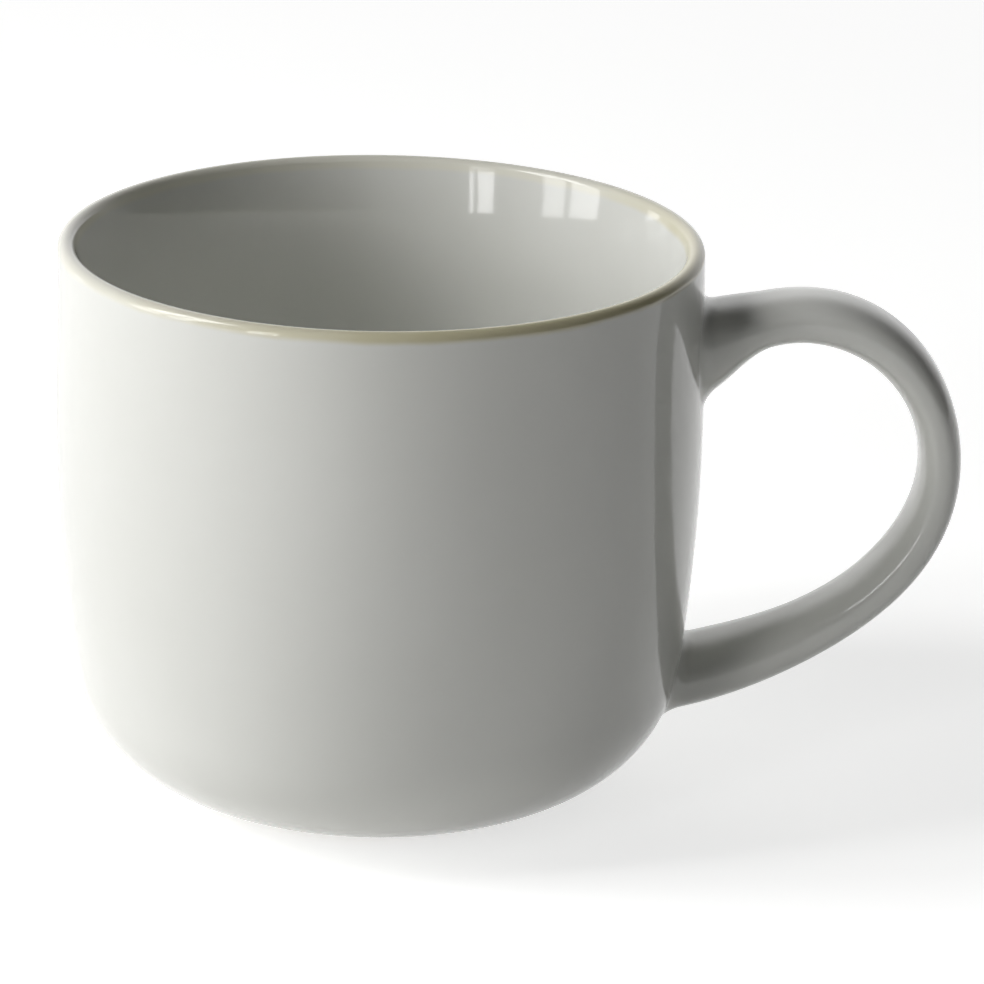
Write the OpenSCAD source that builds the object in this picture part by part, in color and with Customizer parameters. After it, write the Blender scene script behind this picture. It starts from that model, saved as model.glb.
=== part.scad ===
// Soup mug: a rounded stoneware vessel with a lofted strap handle, luted on with slip and glazed.
// Millimetres, +Z up. The origin is on the vessel's axis at the table, and the handle points along +X.
// Outside sizes are the finished ones, measured over the glaze.

/* [Vessel] */
// Outside diameter across the lip
rim_d = 110; // [100:1:122]
// Height from the table to the top of the lip
height = 97.5; // [88:0.5:118]
// How far the belly, where the side is widest, stands out past the lip
belly_swell = 0.75; // [0.25:0.25:4]
// How far the belly lies below the end of the flare inside the lip
belly_drop = 4; // [1:0.5:14]
// Radius of the side's curve below the belly
side_curve_r = 330; // [260:5:420]
// Radius of the heel, where the side turns under to the foot
heel_r = 21.7; // [16:0.1:26]
// Thickness of the fired clay in the side
wall = 5.8; // [4.6:0.1:7]
// Thickness of the finished lip, which is rounded over
lip_t = 3; // [2.4:0.1:4]
// Flare of the inner face where it leaves the rounded lip, in degrees
lip_flare_angle = 21; // [18:0.5:26]
// Thickness of the fired clay in the floor
floor_t = 5.4; // [4:0.1:8]
// Radius of the turn from the side to the floor inside
bowl_r = 16; // [11:0.5:20]

/* [Foot ring] */
// Outside diameter of the ring that the mug stands on
foot_d = 66; // [54:1:72]
// Width of the ring where it leaves the floor
foot_w = 4.5; // [3:0.1:7]
// Height of the ring, which is the depth of the recess inside it
foot_h = 2; // [1.2:0.1:3.5]
// Draft on each side of the ring
foot_draft = 0.6; // [0.2:0.1:1.2]
// Bare clay beside the ring, where the glaze is wiped back
bare_margin = 1.2; // [0.5:0.1:3]

/* [Glaze] */
// Thickness of the glaze coats
glaze_t = 0.4; // [0.2:0.05:0.7]
// How far the buff band runs down below the rounded lip
rim_band_run = 0.2; // [0:0.1:4]

/* [Handle] */
// Width of the strap
handle_w = 16; // [12:0.5:22]
// Width of the strap where it meets the side
root_w = 20; // [15:0.5:26]
// Thickness of the strap over the shoulder, where it is highest
shoulder_t = 8.4; // [6.5:0.1:11]
// Thickness of the strap at the outer bend
handle_t = 7.2; // [5.5:0.1:10]
// Thickness of the strap along the lower run
lower_run_t = 7.7; // [6:0.1:11]
// Thickness of the strap just clear of the upper root
neck_t = 8; // [6:0.1:11]
// Thickness of the strap in the upper root
upper_root_t = 13.8; // [10:0.1:18]
// Thickness of the strap in the lower root
lower_root_t = 10.3; // [8:0.1:14]
// How far the strap's middle line stands out past the lip
handle_reach = 42.2; // [34:0.2:54]
// Drop from the lip to the middle of the upper root
upper_root_drop = 19.5; // [17:0.1:26]
// Height of the middle of the lower root above the table
lower_root_h = 18.2; // [15:0.1:26]
// Rise of the strap as it leaves the upper root, in degrees
upper_root_angle = 37; // [20:1:45]
// Rise of the strap as it leaves the lower root, in degrees
lower_root_angle = 13; // [0:1:30]
// Thickness of the slip that holds each root to the side
slip_t = 1; // [0.5:0.1:2]
// How much the slip spreads round each root
root_flare = 1.6; // [0.6:0.1:3]
// How far from the side the spread begins
root_flare_run = 3; // [2:0.1:6]

/* [Hidden] */
$fn = 180;

// Colours of the clay, the slip and the glazes
clay_colour = [0.78, 0.72, 0.62];
slip_colour = [0.72, 0.66, 0.56];
white_colour = [0.93, 0.93, 0.90];
buff_colour = [0.74, 0.70, 0.56];

// Cuts run past the faces that they open by this much
overrun = 1;
// How far the strap's middle line starts inside the side, and how far the straight root runs on from there
root_sink = 2.3;
root_run = 7;
// Place of the strap's outermost point between the heights of its roots
bow_share = 0.673;
// Lengths of the middle line's tangents, as shares of the spans that they follow
upper_pull_share = 0.647;
shoulder_pull_share = 1.062;
elbow_pull_share = 0.383;
lower_pull_share = 0.733;
// Places along the middle line where the thicknesses of the strap hold
strap_place_shares = [0, 0.1, 0.22, 0.5, 0.75, 1];
strap_thicknesses = [upper_root_t, neck_t, shoulder_t, handle_t, lower_run_t, lower_root_t];
// Part of the middle line over which each root narrows to the strap's own width
root_taper_share = 0.16;
// How far inside the side the spread still grows, as a share of its run
spread_depth_share = 0.5;
// Squareness of the strap's section: 2 is an ellipse
section_power = 2.5;
// Steps round the side's curve, round the heel and the bowl's turn, over the lip, and down its flare
side_steps = 14;
turn_steps = 18;
lip_steps = 16;
flare_steps = 12;
// Rings along the strap, rings in each straight root, sides of a ring, and crowding towards the roots
path_steps = 44;
run_steps = 6;
ring_sides = 24;
crowd_share = 0.6;

// Radii and levels of the vessel
rim_r = rim_d / 2;
belly_r = rim_r + belly_swell;
wall_total = wall + 2 * glaze_t;
lip_r = lip_t / 2;
floor_h = foot_h + floor_t + 2 * glaze_t;
flare_r = (wall_total - lip_r * (1 + cos(lip_flare_angle))) / (1 - cos(lip_flare_angle));
belly_h = height - lip_r - flare_r * sin(lip_flare_angle) - belly_drop;
foot_r = foot_d / 2;
foot_bore_r = foot_r - foot_w;
foot_root_h = foot_h + glaze_t + floor_t / 2;

function unit(v) = v / norm(v);
function heading(a) = [cos(a), sin(a)];
function mix(a, b, t) = a + (b - a) * t;
function ease(t) = t * t * (3 - 2 * t);
function clamp(t) = min(1, max(0, t));
function backwards(points) = [for (i = [len(points) - 1 : -1 : 0]) points[i]];
function without_first(points) = [for (i = [1 : len(points) - 1]) points[i]];
function without_ends(points) = [for (i = [1 : len(points) - 2]) points[i]];

// The side's straight part leans by this angle: its outward normal, and its direction up to the lip
lean = atan((belly_r - rim_r) / (height - belly_h));
outward = heading(lean);
upward = heading(lean + 90);

// Centre of the side's curve, and centre of the rounded lip
side_c = [belly_r, belly_h] - side_curve_r * outward;
lip_rise = (height - lip_r + lip_r * sin(lean) - belly_h) / cos(lean);
lip_c = [belly_r, belly_h] + lip_rise * upward - lip_r * outward;
rim_line_h = lip_c.y - rim_band_run;

// Where the lip's rounding ends inside, and the curve that flares from there into the side's inner face
lip_end = lean + 180 - lip_flare_angle;
flare_c = lip_c - (flare_r - lip_r) * heading(lip_end);

// Centre of the turn of radius r that joins the side's curve, moved outward by off, to a level
function turn_centre(off, r, level) = [
    side_c.x + sqrt((side_curve_r + off - r) ^ 2 - (side_c.y - level - r) ^ 2),
    level + r
];
heel_c = turn_centre(0, heel_r, foot_h);
bowl_c = turn_centre(-wall_total, bowl_r, floor_h);

// Ends of the straight part and of the curved part of the side, moved outward by off
function straight_top(off) = lip_c + (lip_r + off) * outward;
function straight_foot(off) = side_c + (side_curve_r + off) * outward;
function curve_foot(off, turn_c) = side_c + (side_curve_r + off) * unit(turn_c - side_c);

// Radius of the clay's outer face at height z
function arc_r(c, r, z) = c.x + sqrt(r ^ 2 - (z - c.y) ^ 2);
function clay_r(z) =
    let (belly = straight_foot(-glaze_t))
    z > belly.y ? belly.x - (z - belly.y) * tan(lean)
    : z > curve_foot(-glaze_t, heel_c).y ? arc_r(side_c, side_curve_r - glaze_t, z)
    : arc_r(heel_c, heel_r - glaze_t, z);

// Distance of a point [radius, height] from the clay's outer face, and the face's normal there
function clay_near(q) =
    (q - straight_foot(-glaze_t)) * upward > 0 ? [(q - straight_foot(-glaze_t)) * outward, outward]
    : cross(heel_c - side_c, q - heel_c) > 0 ? [norm(q - side_c) - side_curve_r + glaze_t, unit(q - side_c)]
    : [norm(q - heel_c) - heel_r + glaze_t, unit(q - heel_c)];

// Points of an arc about c
function arc(c, r, from_a, to_a, steps) = [
    for (i = [0 : steps])
        c + r * heading(mix(from_a, to_a, i / steps))
];

// The side from the belly down to the bottom, moved outward by off: curved, then turned under
function side_outline(off, turn_c, turn_r) =
    let (turn_a = atan2(turn_c.y - side_c.y, turn_c.x - side_c.x))
    concat(
        arc(side_c, side_curve_r + off, lean, turn_a, side_steps),
        without_ends(arc(turn_c, turn_r, turn_a, -90, turn_steps)),
        [[turn_c.x, turn_c.y - turn_r]]
    );

// The rounded lip from the outside over to the inside, and the flare below it, moved into the clay by depth
function lip_outline(depth) = arc(lip_c, lip_r - depth, lean, lip_end, lip_steps);
function flare_outline(depth) = arc(flare_c, flare_r - depth, lip_end, lean + 180, flare_steps);

// The face from the belly up over the lip and down the flare, moved into the clay by depth
function lip_face(depth) =
    concat([straight_foot(-depth)], lip_outline(depth), without_first(flare_outline(depth)));

// The outer and inner faces from the lip down, moved into the clay by depth
function vessel_outline(depth) =
    concat([straight_top(-depth)], side_outline(-depth, heel_c, heel_r - depth));
function bowl_outline(depth) =
    concat(flare_outline(depth), side_outline(depth - wall_total, bowl_c, bowl_r + depth));

// Point of the axis level with the foot of an outline
function foot_of(outline) = [0, outline[len(outline) - 1].y];

// An outline closed across the lip and filled to the axis
module filled(outline) {
    polygon(concat([[0, lip_c.y - lip_c.x * tan(lean)]], outline, [foot_of(outline)]));
}

module filled_vessel(depth) {
    rotate_extrude() filled(vessel_outline(depth));
}

// The coat between two faces of one outline, with its ends still to be trimmed
module coat(outer, inner) {
    polygon(concat(outer, [foot_of(outer), foot_of(inner)], backwards(inner)));
}

module above_rim_line() {
    translate([0, rim_line_h]) square([belly_r + rim_r, height]);
}

module foot_zone(r) {
    translate([0, -overrun]) square([r, foot_root_h + overrun]);
}

// Middle line of the strap: two cubic curves that meet at its outermost point
upper_root_h = height - upper_root_drop;
upper_root_p = [clay_r(upper_root_h) + glaze_t - root_sink, upper_root_h];
lower_root_p = [clay_r(lower_root_h) + glaze_t - root_sink, lower_root_h];
bow_p = [rim_r + handle_reach, mix(lower_root_h, upper_root_h, bow_share)];
upper_arm = [
    upper_root_p,
    upper_root_p + upper_pull_share * (bow_p.x - upper_root_p.x) * heading(upper_root_angle),
    bow_p + [0, shoulder_pull_share * (upper_root_p.y - bow_p.y)],
    bow_p
];
lower_arm = [
    bow_p,
    bow_p - [0, elbow_pull_share * (bow_p.y - lower_root_p.y)],
    lower_root_p + lower_pull_share * (bow_p.x - lower_root_p.x) * heading(lower_root_angle),
    lower_root_p
];

function quadratic(a, b, c, t) = mix(mix(a, b, t), mix(b, c, t), t);
function bezier(p, t) = mix(quadratic(p[0], p[1], p[2], t), quadratic(p[1], p[2], p[3], t), t);
function bezier_way(p, t) = unit(quadratic(p[1] - p[0], p[2] - p[1], p[3] - p[2], t));

// Point and direction of the middle line at s: from 0 to 1 between the roots, and past them inside the side
function path_p(s) =
    s < 0 ? upper_root_p + s * root_run * path_way(0)
    : s > 1 ? lower_root_p + (s - 1) * root_run * path_way(1)
    : s < 0.5 ? bezier(upper_arm, 2 * s)
    : bezier(lower_arm, 2 * s - 1);
function path_way(s) =
    let (u = clamp(s))
    u < 0.5 ? bezier_way(upper_arm, 2 * u) : bezier_way(lower_arm, 2 * u - 1);

// Thickness and width of the strap at s
function strap_t(s) =
    let (u = clamp(s))
    let (i = max([for (k = [0 : len(strap_place_shares) - 2]) if (u >= strap_place_shares[k]) k]))
    let (f = (u - strap_place_shares[i]) / (strap_place_shares[i + 1] - strap_place_shares[i]))
    mix(strap_thicknesses[i], strap_thicknesses[i + 1], ease(f));
function strap_w(s) =
    let (from_root = min(clamp(s), 1 - clamp(s)))
    mix(root_w, handle_w, ease(clamp(from_root / root_taper_share)));

// Spread of the slip at a distance from the clay side: it meets the side at an angle and fades out
function spread(gap) =
    let (f = max(gap / root_flare_run, -spread_depth_share))
    f > 0 ? root_flare * (1 - f) ^ 2 : root_flare * (1 - 2 * f);

// A point of the strap, which lies along way from its middle line, moved along the side by the slip's spread
function flared(p, way) =
    let (around = unit([p.x, p.y]))
    let (near = clay_near([norm([p.x, p.y]), p.z]))
    let (normal = [near[1].x * around.x, near[1].x * around.y, near[1].y])
    near[0] > root_flare_run ? p : p + spread(near[0]) * unit(way - (way * normal) * normal);

function power_of(c) = sign(c) * abs(c) ^ (2 / section_power);

// One ring of the strap at s, with its section moved inward by inset
function strap_ring(s, inset) =
    let (p = path_p(s))
    let (way = path_way(s))
    let (rise = [-way.y, 0, way.x])
    let (a = strap_t(s) / 2 - inset)
    let (b = strap_w(s) / 2 - inset)
    [for (k = [0 : ring_sides - 1])
        let (turn = 360 * k / ring_sides)
        let (out = a * power_of(cos(turn)) * rise + b * power_of(sin(turn)) * [0, 1, 0])
        flared([p.x, 0, p.y] + out, out)];

// Places of the rings, crowded towards the roots
function crowded(t) = mix(t, (1 - cos(180 * t)) / 2, crowd_share);
ring_places = [
    for (i = [-run_steps : path_steps + run_steps])
        i < 0 ? i / run_steps
        : i > path_steps ? 1 + (i - path_steps) / run_steps
        : crowded(i / path_steps)
];

// Triangles between the rings of a skin whose points start at first, facing out or in
function skin_faces(first, rings, facing_out) = [
    for (i = [0 : rings - 2])
        for (k = [0 : ring_sides - 1])
            let (m = (k + 1) % ring_sides)
            let (q = first + i * ring_sides)
            let (a = q + k)
            let (b = q + m)
            let (c = q + ring_sides + m)
            let (d = q + ring_sides + k)
            for (face = facing_out ? [[a, b, c], [a, c, d]] : [[a, c, b], [a, d, c]]) face
];

// Triangles that close a tube's wall at one of its ends
function edge_faces(outer_first, inner_first, facing_out) = [
    for (k = [0 : ring_sides - 1])
        let (m = (k + 1) % ring_sides)
        let (a = outer_first + k)
        let (b = outer_first + m)
        let (c = inner_first + m)
        let (d = inner_first + k)
        for (face = facing_out ? [[a, c, b], [a, d, c]] : [[a, b, c], [a, c, d]]) face
];

// The solid strap through the given places, with its roots still running into the side
module strap(places, inset) {
    rings = len(places);
    points = [for (s = places) each strap_ring(s, inset)];
    last = (rings - 1) * ring_sides;
    near_end = [for (k = [1 : ring_sides - 2]) [0, k + 1, k]];
    far_end = [for (k = [1 : ring_sides - 2]) [last, last + k, last + k + 1]];
    polyhedron(points, concat(skin_faces(0, rings, true), near_end, far_end));
}

// The glaze on the strap: a tube whose inner skin is the strap's own
module strap_coat() {
    rings = len(ring_places);
    count = rings * ring_sides;
    outer = [for (s = ring_places) each strap_ring(s, 0)];
    inner = [for (s = ring_places) each strap_ring(s, glaze_t)];
    last = count - ring_sides;
    polyhedron(
        concat(outer, inner),
        concat(
            skin_faces(0, rings, true),
            skin_faces(count, rings, false),
            edge_faces(0, count, true),
            edge_faces(last, count + last, false)
        )
    );
}

// The slip under one root: the strap's foot between the clay side and the cut end of the handle
module root_slip(places) {
    difference() {
        intersection() {
            strap(places, glaze_t);
            filled_vessel(glaze_t - slip_t);
        }
        filled_vessel(glaze_t);
    }
}

module foot_ring() {
    rotate_extrude() polygon([
        [foot_bore_r, foot_root_h],
        [foot_bore_r, foot_h],
        [foot_bore_r + foot_draft, 0],
        [foot_r - foot_draft, 0],
        [foot_r, foot_h],
        [foot_r, foot_root_h]
    ]);
}

module body() {
    outer = vessel_outline(glaze_t);
    inner = bowl_outline(glaze_t);
    lip = backwards(without_ends(lip_outline(glaze_t)));
    color(clay_colour) {
        rotate_extrude() polygon(concat(outer, [foot_of(outer), foot_of(inner)], backwards(inner), lip));
        foot_ring();
    }
}

module handle() {
    color(clay_colour) difference() {
        strap(ring_places, glaze_t);
        filled_vessel(glaze_t - slip_t);
    }
}

module upper_slip() {
    color(slip_colour) root_slip([for (s = ring_places) if (s < root_taper_share) s]);
}

module lower_slip() {
    color(slip_colour) root_slip([for (s = ring_places) if (s > 1 - root_taper_share) s]);
}

module outer_glaze() {
    color(white_colour) difference() {
        rotate_extrude() difference() {
            coat(vessel_outline(0), vessel_outline(glaze_t));
            above_rim_line();
            foot_zone(foot_r + bare_margin);
        }
        strap(ring_places, 0);
    }
}

module inner_glaze() {
    color(white_colour) rotate_extrude() difference() {
        coat(bowl_outline(glaze_t), bowl_outline(0));
        above_rim_line();
    }
}

module rim_glaze() {
    color(buff_colour) rotate_extrude() intersection() {
        polygon(concat(lip_face(0), backwards(lip_face(glaze_t))));
        above_rim_line();
    }
}

module handle_glaze() {
    color(white_colour) difference() {
        strap_coat();
        filled_vessel(glaze_t);
    }
}

module base_glaze() {
    color(white_colour) translate([0, 0, foot_h]) cylinder(h = glaze_t, r = foot_bore_r - bare_margin);
}

body();
handle();
upper_slip();
lower_slip();
outer_glaze();
inner_glaze();
rim_glaze();
handle_glaze();
base_glaze();
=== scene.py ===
"""Looks of a soup mug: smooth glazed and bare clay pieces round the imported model, with a studio and a camera.

Lengths are metres in the model's own frame: +Z is up, the vessel's axis is the Z axis, the handle points along +X.
"""

from __future__ import annotations

import logging
import math
from dataclasses import dataclass
from enum import Enum
from typing import Callable, Iterable, Sequence, Union

import bmesh
import bpy
import numpy as np
from mathutils import Matrix, Quaternion, Vector


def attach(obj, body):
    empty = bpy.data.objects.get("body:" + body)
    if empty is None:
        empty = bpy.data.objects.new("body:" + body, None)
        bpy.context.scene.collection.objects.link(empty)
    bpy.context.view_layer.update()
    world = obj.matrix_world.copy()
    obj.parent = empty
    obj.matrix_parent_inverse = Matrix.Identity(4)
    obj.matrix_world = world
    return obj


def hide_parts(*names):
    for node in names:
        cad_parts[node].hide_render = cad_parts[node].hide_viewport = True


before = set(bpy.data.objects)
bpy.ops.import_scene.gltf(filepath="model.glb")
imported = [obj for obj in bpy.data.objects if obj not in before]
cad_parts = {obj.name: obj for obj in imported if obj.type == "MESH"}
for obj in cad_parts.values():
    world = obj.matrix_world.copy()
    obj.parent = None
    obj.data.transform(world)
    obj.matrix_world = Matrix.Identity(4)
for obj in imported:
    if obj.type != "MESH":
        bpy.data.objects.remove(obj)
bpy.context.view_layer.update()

LOG = logging.getLogger("soup_mug")
BODY = "root"
MM = 0.001
TURN = 2 * math.pi
SHARP_ANGLE = math.radians(40)
MERGE_GAP = 0.001 * MM
NOISE_SPAN = (0.3, 0.7)
HALVINGS = 60

Colour = tuple[float, float, float]
Value = Union[float, int, Sequence[float], bpy.types.NodeSocket, bpy.types.ID]


class Slot(Enum):
    """The record's material slots, listed beside the new pieces in the vessel's plan but not used."""

    CLAY = "clay"
    WHITE_GLAZE = "white_glaze"
    BUFF_GLAZE = "buff_glaze"


class NodeBuilder:
    """Adds nodes to a tree with short calls, in which any input is a plain value or another node's socket."""

    def __init__(self, tree: bpy.types.NodeTree) -> None:
        """Takes over an existing tree.

        Args:
            tree: The geometry, material or world tree to add nodes to.
        """
        self.tree = tree

    @staticmethod
    def pick(sockets: bpy.types.bpy_prop_collection, key: str) -> bpy.types.NodeSocket:
        """Finds a socket by its identifier, or else by its name.

        Args:
            sockets: A node's inputs or outputs.
            key: The identifier or name.

        Returns:
            The first socket that matches.
        """
        for socket in sockets:
            if socket.identifier == key:
                return socket
        return next(socket for socket in sockets if socket.name == key)

    def feed(self, socket: bpy.types.NodeSocket, value: Value) -> None:
        """Links a socket to another node's output, or else sets its value.

        Args:
            socket: The input to feed.
            value: A plain value or another node's socket.
        """
        if isinstance(value, bpy.types.NodeSocket):
            self.tree.links.new(value, socket)
        else:
            socket.default_value = value

    def add(self, kind: str, inputs: dict[str, Value] | None = None, **settings: object) -> bpy.types.Node:
        """Adds one node.

        Args:
            kind: The node's type name.
            inputs: Values or sockets for its inputs, by identifier or name.
            **settings: The node's own properties.

        Returns:
            The new node.
        """
        node = self.tree.nodes.new(kind)
        for name, value in settings.items():
            setattr(node, name, value)
        for key, value in (inputs or {}).items():
            self.feed(self.pick(node.inputs, key), value)
        return node

    def out(self, kind: str, output: str, inputs: dict[str, Value] | None = None, **settings: object
            ) -> bpy.types.NodeSocket:
        """Adds one node and returns one of its outputs.

        Args:
            kind: The node's type name.
            output: Identifier or name of the output.
            inputs: Values or sockets for its inputs.
            **settings: The node's own properties.

        Returns:
            The output socket.
        """
        return self.pick(self.add(kind, inputs, **settings).outputs, output)

    def math(self, operation: str, *values: Value) -> bpy.types.NodeSocket:
        """Adds a Math node.

        Args:
            operation: Name of the operation.
            *values: Its operands.

        Returns:
            The result.
        """
        node = self.add("ShaderNodeMath", operation=operation)
        for socket, value in zip(node.inputs, values):
            self.feed(socket, value)
        return node.outputs[0]

    def vector(self, operation: str, *values: Value, scale: Value = 1.0, output: str = "Vector"
               ) -> bpy.types.NodeSocket:
        """Adds a Vector Math node.

        Args:
            operation: Name of the operation.
            *values: Its vector operands.
            scale: The factor of a SCALE.
            output: Name of the result to return, Value for a length or a product.

        Returns:
            The result.
        """
        node = self.add("ShaderNodeVectorMath", {"Scale": scale}, operation=operation)
        for socket, value in zip(node.inputs, values):
            self.feed(socket, value)
        return self.pick(node.outputs, output)

    def mix_vector(self, share: Value, a: Value, b: Value) -> bpy.types.NodeSocket:
        """Mixes two vectors by a share and returns the result."""
        return self.out("ShaderNodeMix", "Result_Vector", {"Factor_Float": share, "A_Vector": a, "B_Vector": b},
                        data_type="VECTOR", clamp_factor=False)

    def mix_colour(self, share: Value, a: Value, b: Value) -> bpy.types.NodeSocket:
        """Mixes two colours by a share and returns the result."""
        return self.out("ShaderNodeMix", "Result_Color", {"Factor_Float": share, "A_Color": a, "B_Color": b},
                        data_type="RGBA")

    def ranged(self, value: Value, low: Value, high: Value, to_low: Value = 0.0, to_high: Value = 1.0,
               smooth: bool = False) -> bpy.types.NodeSocket:
        """Maps a value from one range to another, held at the ends.

        Args:
            value: The value to map.
            low: Start of its range.
            high: End of its range.
            to_low: Result at the start.
            to_high: Result at the end.
            smooth: Whether the map eases in and out.

        Returns:
            The mapped value.
        """
        return self.out("ShaderNodeMapRange", "Result",
                        {"Value": value, "From Min": low, "From Max": high, "To Min": to_low, "To Max": to_high},
                        interpolation_type="SMOOTHSTEP" if smooth else "LINEAR")

    def noise(self, vector: Value, scale: float, detail: float = 2.0, roughness: float = 0.5
              ) -> bpy.types.NodeSocket:
        """Adds a noise of the given scale, per metre, and returns its value from 0 to 1."""
        node = self.add("ShaderNodeTexNoise",
                        {"Vector": vector, "Scale": scale, "Detail": detail, "Roughness": roughness})
        return node.outputs[0]


def opaque(colour: Colour) -> tuple[float, float, float, float]:
    """Returns a colour with full alpha."""
    return (*colour, 1.0)


def new_material(name: str) -> tuple[bpy.types.Material, NodeBuilder, bpy.types.NodeSocket]:
    """Makes an empty node material.

    Args:
        name: The material's name.

    Returns:
        The material, a builder on its tree, and the surface socket of its output.
    """
    material = bpy.data.materials.new(name)
    material.use_nodes = True
    material.node_tree.nodes.clear()
    nodes = NodeBuilder(material.node_tree)
    surface = nodes.add("ShaderNodeOutputMaterial").inputs["Surface"]
    return material, nodes, surface


@dataclass(frozen=True)
class GlazeFinish:
    """Glossy white glaze, which breaks thin to buff over the lip."""

    name: str = "white_glaze"
    white: Colour = (0.848, 0.852, 0.806)
    pale: Colour = (0.878, 0.882, 0.84)
    buff: Colour = (0.90, 0.887, 0.785)
    # The darker olive is the buff's own tint deepened as painted shade on the side away from the windows.
    olive_and_shade: Colour = (0.72, 0.67, 0.45)
    roughness: tuple[float, float] = (0.06, 0.11)
    ior: float = 1.5
    cloud_scale: float = 28.0
    gloss_scale: float = 56.0
    edge_scale: float = 70.0
    edge_wander: float = 0.5 * MM
    edge_softness: float = 0.6 * MM
    # The next three place painted shade: the buff darkens toward the front-right side, away from the windows, along a
    # wandering edge.
    shade_way: tuple[float, float, float] = (0.71, -0.71, 0.0)
    shade_span: tuple[float, float] = (-5 * MM, 50 * MM)
    shade_wander: float = 12 * MM
    peel_scale: float = 330.0
    peel_height: float = 0.010 * MM
    ripple_scale: float = 45.0
    ripple_height: float = 0.07 * MM

    def material(self, vessel: Vessel) -> bpy.types.Material:
        """Builds the finish for one vessel, whose lip sets where the buff begins.

        Args:
            vessel: The vessel that the glaze is on.

        Returns:
            The material.
        """
        material, nodes, surface = new_material(self.name)
        place = nodes.out("ShaderNodeTexCoord", "Object")
        parts = nodes.add("ShaderNodeSeparateXYZ", {"Vector": place}).outputs
        radius = nodes.math("SQRT", nodes.math("ADD", nodes.math("MULTIPLY", parts["X"], parts["X"]),
                                               nodes.math("MULTIPLY", parts["Y"], parts["Y"])))
        crest = float(vessel.lip_c[0])
        # The buff begins at one height inside the lip and at another outside, along an edge that wanders.
        line = nodes.ranged(radius, crest - vessel.lip_r, crest + vessel.lip_r,
                            vessel.buff_line_in, vessel.buff_line_out)
        edge = nodes.noise(place, self.edge_scale, detail=3.0)
        swing = nodes.math("SUBTRACT", edge, 0.5)
        wander = nodes.math("MULTIPLY", swing, self.edge_wander * 2)
        above = nodes.math("SUBTRACT", nodes.math("ADD", parts["Z"], wander), line)
        band = nodes.ranged(above, -self.edge_softness, self.edge_softness, smooth=True)
        cloud = nodes.noise(place, self.cloud_scale, detail=3.0)
        white = nodes.mix_colour(nodes.ranged(cloud, *NOISE_SPAN), opaque(self.white), opaque(self.pale))
        # On the front-right, away from the windows, the buff darkens to olive: painted shade, laid over the buff's
        # own olive tint.
        toward = nodes.vector("DOT_PRODUCT", place, self.shade_way, output="Value")
        shaded_side = nodes.math("ADD", toward, nodes.math("MULTIPLY", swing, self.shade_wander * 2))
        buff = nodes.mix_colour(nodes.ranged(shaded_side, *self.shade_span), opaque(self.buff), opaque(self.olive_and_shade))
        colour = nodes.mix_colour(band, white, buff)
        gloss = nodes.ranged(nodes.noise(place, self.gloss_scale), *NOISE_SPAN, *self.roughness)
        ripple = nodes.out("ShaderNodeBump", "Normal", {"Height": nodes.noise(place, self.ripple_scale, detail=1.0),
                                                        "Distance": self.ripple_height})
        peel = nodes.out("ShaderNodeBump", "Normal", {"Height": nodes.noise(place, self.peel_scale, detail=1.0),
                                                      "Distance": self.peel_height, "Normal": ripple})
        shader = nodes.out("ShaderNodeBsdfPrincipled", "BSDF",
                           {"Base Color": colour, "Roughness": gloss, "IOR": self.ior, "Normal": peel})
        nodes.feed(surface, shader)
        return material


@dataclass(frozen=True)
class ClayFinish:
    """Fired clay left bare: matt and grained, with darker specks."""

    name: str
    light: Colour
    dark: Colour
    speck: Colour
    roughness: tuple[float, float] = (0.72, 0.9)
    blotch_scale: float = 90.0
    grain_scale: float = 2200.0
    grain_height: float = 0.05 * MM
    speck_scale: float = 700.0
    speck_size: float = 0.16
    speck_fade: float = 1.6
    speck_patches: tuple[float, float] = (0.45, 0.6)

    def material(self) -> bpy.types.Material:
        """Builds the finish.

        Returns:
            The material.
        """
        material, nodes, surface = new_material(self.name)
        place = nodes.out("ShaderNodeTexCoord", "Object")
        blotch = nodes.noise(place, self.blotch_scale, detail=4.0)
        grain = nodes.noise(place, self.grain_scale, detail=3.0, roughness=0.6)
        clay = nodes.mix_colour(nodes.ranged(blotch, *NOISE_SPAN), opaque(self.dark), opaque(self.light))
        cells = nodes.out("ShaderNodeTexVoronoi", "Distance", {"Vector": place, "Scale": self.speck_scale})
        specks = nodes.ranged(cells, self.speck_size, self.speck_size * self.speck_fade, 1.0, 0.0, smooth=True)
        rare = nodes.math("MULTIPLY", specks, nodes.ranged(blotch, *self.speck_patches))
        colour = nodes.mix_colour(rare, clay, opaque(self.speck))
        bump = nodes.out("ShaderNodeBump", "Normal", {"Height": grain, "Distance": self.grain_height})
        shader = nodes.out("ShaderNodeBsdfPrincipled", "BSDF",
                           {"Base Color": colour, "Normal": bump,
                            "Roughness": nodes.ranged(grain, *NOISE_SPAN, *self.roughness)})
        nodes.feed(surface, shader)
        return material


STONEWARE = ClayFinish("bare_stoneware", (0.66, 0.58, 0.46), (0.55, 0.47, 0.36), (0.30, 0.23, 0.16))
FIRED_SLIP = ClayFinish("fired_slip", (0.62, 0.55, 0.45), (0.54, 0.47, 0.37), (0.36, 0.29, 0.21))


def arc(centre: np.ndarray, radius: float, start: float, end: float, steps: int) -> np.ndarray:
    """Points of an arc.

    Args:
        centre: Its centre as radius and height.
        radius: Its radius.
        start: Angle of its first point, in radians.
        end: Angle of its last point.
        steps: Number of steps between them.

    Returns:
        One row of radius and height per point.
    """
    angles = np.linspace(start, end, steps + 1)
    return centre + radius * np.stack([np.cos(angles), np.sin(angles)], axis=-1)


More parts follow.
